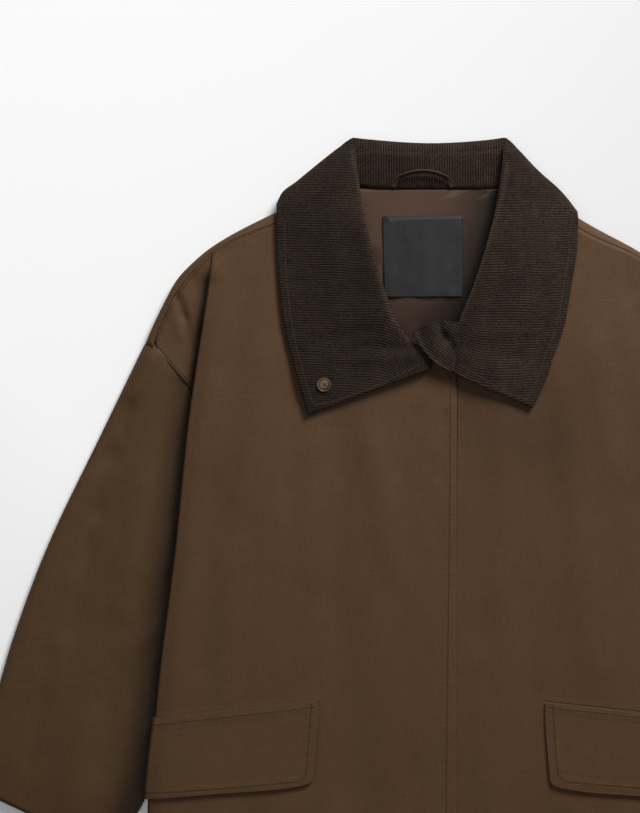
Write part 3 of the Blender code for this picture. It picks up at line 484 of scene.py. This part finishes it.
def keep(name, mesh, finish):
    """Makes the mesh a smooth-shaded piece in its finish, on the jacket's one body."""
    mesh.materials.clear()
    mesh.materials.append(finish)
    for p in mesh.polygons:
        p.use_smooth = True
    piece = bpy.data.objects.new(name, mesh)
    bpy.context.collection.objects.link(piece)
    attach(piece, "root")
    return piece


def attribute(mesh, name, values):
    """Keeps one value at each point of the mesh."""
    a = mesh.attributes.new(name, "FLOAT", "POINT")
    a.data.foreach_set("value", np.asarray(values, np.float32))


WELD = 2e-5  # in metres
CUT_EDGE = 60  # degrees: a sharper edge is a cut or turned one, and stays sharp
EDGE_HIGHLIGHT_HALF = 2.0  # half width of the highlight painted beside a line
# A bent line that the cloth rises or sinks along, where it is lower than under. Its dark is the share of
# shade that it paints into the cloth's colour.
Roll = namedtuple("Roll", "line half_width rise under dark")


def cloth(
    name, finish, levels, creases=(), height=(4.0, 9.0), lines=(), lines_2=(), slot="wax", wale=None,
    rolls=(), drawn=2.2, shape=None, worn=(),
):
    """The panel's smooth form with its creases, in place of the plain node.

    The creases are drawn times as high as in their table, and fade in between the two heights. lines and
    lines_2 are stitch lines and seams. shape moves the points, wale counts the corduroy's rows over them,
    a highlight is painted along the worn lines, and the rolls' dark share is painted shade.
    """
    bm = bmesh.new()
    bm.from_mesh(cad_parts[name].data)
    bmesh.ops.remove_doubles(bm, verts=bm.verts, dist=WELD)
    flat, square = math.radians(40), math.radians(60)
    bmesh.ops.join_triangles(bm, faces=bm.faces, angle_face_threshold=flat, angle_shape_threshold=square)
    crease = bm.edges.layers.float.new("crease_edge")
    for e in bm.edges:
        if len(e.link_faces) == 2 and e.calc_face_angle(0) > math.radians(CUT_EDGE):
            e[crease] = 1.0
    mesh = bpy.data.meshes.new(name + "_cloth")
    bm.to_mesh(mesh)
    bm.free()
    raw = bpy.data.objects.new(name + "_raw", mesh)
    bpy.context.collection.objects.link(raw)
    sub = raw.modifiers.new("fine", "SUBSURF")
    sub.levels = sub.render_levels = levels
    done = bpy.data.meshes.new_from_object(raw.evaluated_get(bpy.context.evaluated_depsgraph_get()))
    bpy.data.objects.remove(raw)
    n = len(done.vertices)
    co = np.empty(n * 3)
    done.vertices.foreach_get("co", co)
    co = co.reshape(-1, 3) / MM
    share = smooth((co[:, 2] - height[0]) / (height[1] - height[0]))
    co[:, 2] += relief(creases, co[:, 0], co[:, 1]) * share * drawn
    painted_shade, was = np.zeros(n), co[:, 2].copy()
    for roll in rolls:
        away = beside(co[:, :2], [roll.line])[0]
        by = np.exp(-((away / roll.half_width) ** 2)) * (was < roll.under)
        co[:, 2] += roll.rise * by * share
        painted_shade = np.maximum(painted_shade, by * roll.dark)
    if shape:
        co = shape(co)
    done.vertices.foreach_set("co", (co * MM).ravel())
    for row, kind in ((lines, "stitch_line"), (lines_2, "stitch_line_2")):
        if row:
            away, by = beside(co[:, :2], row)
            attribute(done, kind, away)
            attribute(done, "by_" + kind, by)
    if wale is not None:
        attribute(done, "wale_row", wale(co))
    # the shade that the rolls paint is kept for the wax and the lining
    if slot in ("wax", "lining"):
        attribute(done, "painted_fold_shade", painted_shade)
    if worn:
        # a highlight painted along the worn lines
        attribute(done, "painted_edge_highlight", np.exp(-((beside(co[:, :2], worn)[0] / EDGE_HIGHLIGHT_HALF) ** 2)))
    done.update()
    piece = keep(name + "_piece", done, finish)
    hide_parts(name)
    return piece


LOOK_FROM = 0.2  # in metres, above the whole jacket


def surface(*pieces):
    """Looks down on the pieces: gives the height and slope where a stitch lies."""
    trees = [BVHTree.FromObject(p, bpy.context.evaluated_depsgraph_get()) for p in pieces]

    def look(x, y):
        hits = [t.ray_cast(Vector((x * MM, y * MM, LOOK_FROM)), Vector((0, 0, -1))) for t in trees]
        hits = [h for h in hits if h[0] is not None]
        return max(hits, key=lambda h: h[0].z)[:2] if hits else None

    return look


STITCH, STITCH_GAP, THREAD_HALF = 2.7, 0.9, 0.34  # a stitch's length, the gap after it, half its thickness
FIRST_STITCH, STEP_MAX, PROUD = 0.6, 3.0, 0.08  # start of a row, highest step that is sewn over, lift
PILL_HALF = 0.55  # half the pill's length, as a share of the stitch's own


def stitch_row(name, rows, look, finish):
    """Rows of single stitches, each a slim pill pressed into the cloth."""
    bm = bmesh.new()
    for row in rows:
        line = np.array(row, float)
        steps = np.linalg.norm(np.diff(line, axis=0), axis=1)
        run = np.r_[0, np.cumsum(steps)]
        for s in np.arange(FIRST_STITCH, run[-1] - STITCH, STITCH + STITCH_GAP):
            a, b = ([np.interp(q, run, line[:, k]) for k in (0, 1)] for q in (s, s + STITCH))
            ha, hb = look(*a), look(*b)
            if ha is None or hb is None or abs(ha[0].z - hb[0].z) > STEP_MAX * MM:
                continue
            made = bmesh.ops.create_uvsphere(bm, u_segments=6, v_segments=4, radius=1.0)["verts"]
            along = hb[0] - ha[0]
            turn = along.to_track_quat("Z", "Y").to_matrix().to_4x4()
            size = Matrix.Diagonal((THREAD_HALF * MM, THREAD_HALF * MM, along.length * PILL_HALF, 1))
            middle = Matrix.Translation((ha[0] + hb[0]) / 2 + Vector((0, 0, PROUD * MM)))
            bmesh.ops.transform(bm, matrix=middle @ turn @ size, verts=made)
    mesh = bpy.data.meshes.new(name)
    bm.to_mesh(mesh)
    bm.free()
    piece = keep(name, mesh, finish)
    return piece


# ---------- stitch lines, seams and rolls: x, y along each ----------
FRONT_EDGE = ((19.6, 178.0), (19.2, 120.0), (18.4, 0.0), (16.8, -116.0), (15.4, -233.0), (14.8, -418.0))
SHOULDER_LINE = (
    (-161.5, 337.0), (-199.8, 321.6), (-229.0, 304.9), (-246.0, 286.0), (-261.6, 266.4),
    (-277.0, 238.0), (-287.0, 215.9),
)
DROP_LINE = ((-288.6, 216.0), (-284.4, 206.6), (-268.4, 188.0), (-252.0, 170.5))
# A groove with a painted shadow beside the lapped front's edge; no stitches run along it
LAP_SHADOW_LINE = tuple((x + 7.5, y) for x, y in FRONT_EDGE)
FLAP_LINE = (
    (-125.4, -164.0), (-126.4, -172.0), (-128.6, -207.4), (-131.0, -238.0), (-135.0, -243.6),
    (-143.2, -246.0), (-223.0, -252.6), (-300.0, -258.0),
)
FLAP_TOP = ((-120.6, -168.1), (-180.0, -174.4), (-296.0, -187.0))
# A groove with a painted shadow on the front just above the flap's top edge; no stitches run along it
FLAP_SEAM_SHADOW = ((-117.0, -161.7), (-180.0, -168.2), (-296.0, -180.6))
LEAF_EDGE_A = (
    (-153.4, 340.0), (-153.0, 304.0), (-151.4, 278.0), (-148.6, 250.0), (-144.6, 222.5),
    (-138.0, 196.0), (-130.8, 170.4), (-123.4, 146.6),
)
LEAF_LOW_A = (
    (-123.4, 146.6), (-100.0, 152.6), (-76.0, 160.0), (-52.0, 170.4), (-30.0, 180.6), (-12.0, 190.0),
)
LEAF_EDGE_B = (
    (143.0, 318.0), (141.6, 299.0), (138.0, 276.8), (133.6, 250.0), (127.4, 223.5), (118.0, 199.6),
    (111.2, 177.6), (98.4, 152.6),
)
LEAF_LOW_B = ((98.4, 152.6), (80.0, 160.0), (60.0, 170.4), (42.0, 181.6), (28.0, 190.0))
STAND_SEAM = (
    (-76.0, 414.2), (-58.0, 413.4), (-29.0, 411.2), (0.0, 410.2), (29.0, 411.0), (58.0, 413.2),
    (72.0, 414.0),
)
HEM_LINE = ((-290.0, -407.0), (-150.0, -407.0), (14.0, -407.0))

# The front's side rolls down over the sleeve, which sinks beneath it; shade is painted along both there
FRONT_SIDE = (
    (-231.0, 272.0), (-240.0, 222.0), (-249.0, 157.0), (-259.0, 70.0), (-268.0, -15.0),
    (-277.0, -84.0), (-287.5, -178.0), (-294.5, -230.0), (-297.5, -290.0), (-295.5, -430.0),
)
SLEEVE_SINK = (
    (-241.0, 196.0), (-246.0, 158.0), (-257.0, 96.0), (-266.0, 22.0), (-277.0, -60.0),
    (-288.0, -128.0), (-296.0, -190.0), (-305.0, -240.0), (-322.0, -300.0),
)
# Beside the drop seam the sleeve lies at the front's height: y and its rise there
SLEEVE_LEVEL = (
    (150.0, 0.0), (169.0, 0.0), (177.0, 1.5), (186.0, -0.1), (196.0, -1.3), (206.0, -2.2),
    (230.0, -2.2),
)

# The crest of each collar leaf's roll, and the leaf's and tab's low edges at the closing
LEAF_ROLL_A = (
    (-83.0, 412.0), (-80.0, 394.0), (-75.5, 370.0), (-70.8, 341.5), (-65.0, 314.0), (-57.4, 287.4),
    (-49.4, 261.0), (-40.2, 236.5), (-23.0, 214.5), (-6.0, 203.0),
)
LEAF_ROLL_B = (
    (78.0, 398.0), (74.0, 372.0), (66.0, 340.0), (57.0, 312.0), (48.0, 286.0), (38.0, 258.0),
    (28.0, 232.0),
)
TAB_EDGE = ((-16.0, 222.0), (-8.0, 205.0), (6.0, 191.0), (20.0, 181.0), (60.0, 164.0))
# Where shade is only painted into the cloth's colour
COLLAR_SHADE = ((44.0, 146.0), (110.0, 118.0))
CLOSING_SHADE = ((-30.0, 190.0), (0.0, 184.0), (26.0, 186.0))
TAB_SHADE = ((-4.0, 222.0), (22.0, 238.0))
ACROSS_DROP = (0.78, 0.62)  # from the sleeve to the front, square to the drop seam


def pushed(co, *table):
    """Moves points near x, y within a radius by dx, dy."""
    for x, y, radius, dx, dy in table:
        near_it = np.exp(-((co[:, 0] - x) ** 2 + (co[:, 1] - y) ** 2) / radius**2)
        co = co + near_it[:, None] * np.array([dx, dy, 0])
    return co


def leaf_corners(co):
    """Moves the leaves' corners at both shoulders and at the closing."""
    return pushed(co, (-155, 368, 13, -2.6, 2.8), (107, 378, 18, -3.6, 1.2), (-9, 200, 12, 3.6, 2.0))


def stand_top(co):
    """The stand's top meets the fall at its seam behind the neck, and its ends spread."""
    high = smooth((co[:, 1] - 396) / 8)
    co[:, 1] += 1.2 * high * (np.abs(co[:, 0]) < 76)
    co[:, 0] += 2.6 * high * np.sign(co[:, 0]) * smooth((np.abs(co[:, 0]) - 56) / 14)
    return co


def tab_ends(co):
    """The end at +x runs in under the leaf's roll, and the low edge follows the leaf's."""
    x, y = co[:, 0].copy(), co[:, 1].copy()
    to_leaf = smooth((x - 9) / 13)
    low = smooth((-0.6 * x - 0.8 * y + 172) / 12)
    co[:, 0] += 4.6 * to_leaf - 1.4 * low
    co[:, 1] -= 1.8 * low
    co[:, 2] += 1.3 * to_leaf
    return co


def flap_corner(side):
    """Lifts the flap a little and draws its top edge up towards the closing; side is 1 at -x."""

    def shape(co):
        co[:, 2] += 0.6
        co[:, 1] += 2.8 * smooth((side * co[:, 0] + 300) / 180) * smooth((co[:, 1] + 225) / 50)
        return co

    return shape


def sleeve_head(side):
    """Brings the sleeve's upper side to the front's edge along the drop seam; side is 1 at -x."""

    def shape(co):
        x, y = side * co[:, 0], co[:, 1]
        away = np.minimum(np.abs(beside(np.stack([x, y], 1), [DROP_LINE])[0]), 60)
        outer = smooth((y - 170) / 46)
        reach = 3.4 + 2.6 * outer
        upper, from_fold = smooth((co[:, 2] - 4) / 4), smooth((y - 150) / 15)
        pull = smooth((17 - away) / 12) * reach * upper * from_fold
        co[:, 0] += side * ACROSS_DROP[0] * pull
        co[:, 1] += ACROSS_DROP[1] * pull
        co[:, 2] -= 1.1 * smooth((7 - away) / 7) * smooth((co[:, 2] - 7) / 3)
        level = np.interp(y, [row[0] for row in SLEEVE_LEVEL], [row[1] for row in SLEEVE_LEVEL])
        co[:, 2] += level * smooth((15 - away) / 12) * smooth((co[:, 2] - 4) / 4)
        return co

    return shape


def other_side(line):
    """A line mirrored to the wearer's left."""
    return tuple((-x, y) for x, y in line)


def leaf_wales(co):
    """Across the wales on both leaves: rows run nearly level and close up towards the notch."""
    x, y = co[:, 0], co[:, 1]
    right = x < 5
    tilt = np.where(right, -0.035, 0.02)
    pull = np.where(right, smooth((x + 70) / 70), smooth((70 - x) / 60)) * smooth((262 - y) / 60)
    drawn_in = np.where(right, (x + 70) * 0.42, (70 - x) * -0.30)
    return y - tilt * (x + 100 * np.where(right, 1, -1)) + pull * drawn_in


def tab_wales(co):
    """Across the wales on the tab, which run down towards +x."""
    return co[:, 0] * 0.55 + co[:, 1] * 0.83


# ---------- the jacket ----------
wax = waxed_cotton("waxed_cotton", stitched=True)
sleeve_wax = waxed_cotton("waxed_cotton_sleeve", SLEEVE_DARK, SLEEVE_LIGHT)
loop_wax = waxed_cotton("waxed_tape", TAPE_DARK, TAPE_LIGHT)
leaf_cord = corduroy("corduroy_leaves", "leaves")
stand_cord = corduroy("corduroy_stand", "behind")
tab_cord = corduroy("corduroy_tab", "tab")
satin, plum, brass = label_satin(), lining_cloth(), antique_brass()
brown_thread = thread("brown_thread", BROWN_THREAD_DARK, BROWN_THREAD_LIGHT)
cord_thread = thread("collar_thread", COLLAR_THREAD_DARK, COLLAR_THREAD_LIGHT)

front_lines = [FRONT_EDGE, SHOULDER_LINE, other_side(SHOULDER_LINE), HEM_LINE, other_side(HEM_LINE)]
TOP = 30.0  # higher than the jacket
folded = Roll(FRONT_SIDE, half_width=9.0, rise=-2.6, under=TOP, dark=0.0)
# sunk and sleeve_sunk lower the cloth and also paint shade into it
sunk = Roll(FRONT_SIDE, half_width=10.5, rise=-5.5, under=13.5, dark=1.0)
sleeve_sunk = Roll(SLEEVE_SINK, half_width=21.0, rise=-7.0, under=TOP, dark=1.0)
# These rolls leave the cloth in place and only paint shade into it
collar_painted_shade = Roll(COLLAR_SHADE, half_width=52.0, rise=0.0, under=TOP, dark=0.30)
closing_painted_shade = Roll(CLOSING_SHADE, half_width=13.0, rise=0.0, under=TOP, dark=0.5)
leaf_painted_shade = Roll(LEAF_ROLL_B, half_width=38.0, rise=0.0, under=TOP, dark=1.0)
tab_painted_shade = Roll(TAB_SHADE, half_width=16.0, rise=0.0, under=TOP, dark=0.6)


def left(roll):
    """A roll mirrored to the wearer's left."""
    return roll._replace(line=other_side(roll.line))


front_right = cloth(
    "front_right", wax, 3, FRONT_CREASES, lines=front_lines, lines_2=[DROP_LINE, FLAP_SEAM_SHADOW],
    rolls=[folded, sunk, closing_painted_shade],
)
front_left = cloth(
    "front_left", wax, 3, FRONT_CREASES, lines=front_lines[1:],
    lines_2=[other_side(DROP_LINE), other_side(FLAP_SEAM_SHADOW), LAP_SHADOW_LINE],
    rolls=[left(folded), left(sunk), collar_painted_shade, closing_painted_shade],
)
back = cloth("back", wax, 2, lines=[HEM_LINE])
sleeve_right = cloth(
    "sleeve_right", sleeve_wax, 3, SLEEVE_CREASES, rolls=[sleeve_sunk], shape=sleeve_head(1)
)
sleeve_left = cloth(
    "sleeve_left", sleeve_wax, 3, mirrored(SLEEVE_CREASES), rolls=[left(sleeve_sunk)],
    shape=sleeve_head(-1),
)
flap_right = cloth(
    "flap_right", wax, 3, FRONT_CREASES, lines=[FLAP_LINE], lines_2=[FLAP_TOP],
    rolls=[folded], shape=flap_corner(1),
)
flap_left = cloth(
    "flap_left", wax, 3, FRONT_CREASES, lines=[other_side(FLAP_LINE)], lines_2=[other_side(FLAP_TOP)],
    rolls=[left(folded)], shape=flap_corner(-1),
)
collar_fall = cloth(
    "collar_fall", leaf_cord, 3, LEAF_CREASES, height=(13, 18), slot="cord", wale=leaf_wales,
    shape=leaf_corners, worn=[LEAF_ROLL_A, LEAF_ROLL_B, TAB_EDGE],
)
collar_under = cloth(
    "collar_under", leaf_cord, 2, LEAF_CREASES, height=(13, 18), slot="cord", wale=leaf_wales,
    shape=leaf_corners,
)
collar_stand = cloth("collar_stand", stand_cord, 2, slot="cord", shape=stand_top)
neck_tab = cloth(
    "neck_tab", tab_cord, 3, TAB_CREASES, height=(13, 18), slot="cord", wale=tab_wales,
    shape=tab_ends, worn=[TAB_EDGE],
)
neck_lining = cloth(
    "neck_lining", plum, 3, LINING_CREASES, height=(3, 6), slot="lining", drawn=1.0,
    rolls=[leaf_painted_shade, tab_painted_shade],
)
label = cloth("label", satin, 4, LABEL_CREASES, height=(4, 7), slot="label", drawn=1.6)
hanger_loop = cloth("hanger_loop", loop_wax, 2, slot="loop")

# The cap keeps its own mesh, with flat faces
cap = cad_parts["snap_cap"]
for p in cap.data.polygons:
    p.use_smooth = False
cap.data.materials.clear()
cap.data.materials.append(brass)

look = surface(front_right, front_left, flap_right, flap_left, sleeve_right, sleeve_left, back)
front_rows = [FRONT_EDGE, SHOULDER_LINE, other_side(SHOULDER_LINE), DROP_LINE, other_side(DROP_LINE)]
stitch_row("front_stitches", front_rows, look, brown_thread)
flap_rows = [FLAP_LINE, other_side(FLAP_LINE), FLAP_TOP, other_side(FLAP_TOP)]
stitch_row("flap_stitches", flap_rows, look, brown_thread)
look_collar = surface(collar_fall, collar_stand)
collar_rows = [LEAF_EDGE_A, LEAF_LOW_A, LEAF_EDGE_B, LEAF_LOW_B, STAND_SEAM]
stitch_row("collar_stitches", collar_rows, look_collar, cord_thread)

# ---------- each panel's cut: width and length in m, flat area in m2 ----------
for piece, flat, area, held, under in (
    (back, (0.600, 0.830), 0.410, "laid", ["table_top"]),
    (front_right, (0.365, 0.800), 0.239, "laid", [back]),
    (front_left, (0.345, 0.800), 0.224, "laid", [back]),
    (sleeve_right, (0.340, 0.520), 0.148, "laid", ["table_top"]),
    (sleeve_left, (0.340, 0.520), 0.148, "laid", ["table_top"]),
    (flap_right, (0.180, 0.088), 0.0154, "laid", [front_right]),
    (flap_left, (0.180, 0.088), 0.0154, "laid", [front_left]),
    (collar_fall, (0.640, 0.140), 0.076, "folded", [collar_under]),
    (collar_under, (0.560, 0.115), 0.054, "folded", [front_right, front_left]),
    (collar_stand, (0.230, 0.058), 0.0124, "folded", [back]),
    (neck_tab, (0.036, 0.060), 0.0019, "laid", [front_left]),
    (neck_lining, (0.190, 0.190), 0.029, "laid", [back]),
    (label, (0.085, 0.086), 0.0072, "laid", [neck_lining]),
    (hanger_loop, (0.010, 0.056), 0.00050, "laid", [neck_lining]),
):
    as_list(under)

# ---------- table, lights and camera, in metres ----------
TABLE_HALF, TABLE_GAP = 3.0, 0.0002
VIEW_CENTRE, VIEW_HEIGHT = (-0.11655, 0.14595), 2.016
SKY = 0.18

bm = bmesh.new()
bmesh.ops.create_grid(bm, x_segments=1, y_segments=1, size=TABLE_HALF)
bmesh.ops.translate(bm, verts=bm.verts, vec=(0, 0, cad_box[0][2] - TABLE_GAP))
mesh = bpy.data.meshes.new("table_top")
bm.to_mesh(mesh)
bm.free()
table = bpy.data.objects.new("table_top", mesh)
bpy.context.collection.objects.link(table)
mesh.materials.append(table_top())


def lamp(name, place, aim, size, power):
    """A white disk lamp turned to the point that it lights."""
    data = bpy.data.lights.new(name, "AREA")
    data.shape, data.size, data.energy = "DISK", size, power
    o = bpy.data.objects.new(name, data)
    o.location = place
    o.rotation_euler = (Vector(aim) - Vector(place)).to_track_quat("-Z", "Y").to_euler()
    bpy.context.collection.objects.link(o)


lamp("window", place=(0.93, 2.0, 1.45), aim=(-0.12, 0.05, 0), size=1.15, power=92)
lamp("sky_panel", place=(-0.9, 0.3, 3.0), aim=(-0.2, 0.1, 0), size=2.0, power=16)
world = bpy.data.worlds.new("studio")
world.use_nodes = True
background = world.node_tree.nodes["Background"]
background.inputs["Color"].default_value = (1, 1, 1, 1)
background.inputs["Strength"].default_value = SKY
bpy.context.scene.world = world
bpy.context.scene.view_settings.view_transform = "Standard"

camera = bpy.data.objects.new("camera", bpy.data.cameras.new("camera"))
camera.data.lens, camera.data.sensor_width = 85.0, 36.0
camera.location = (*VIEW_CENTRE, VIEW_HEIGHT)
bpy.context.collection.objects.link(camera)
bpy.context.scene.camera = camera
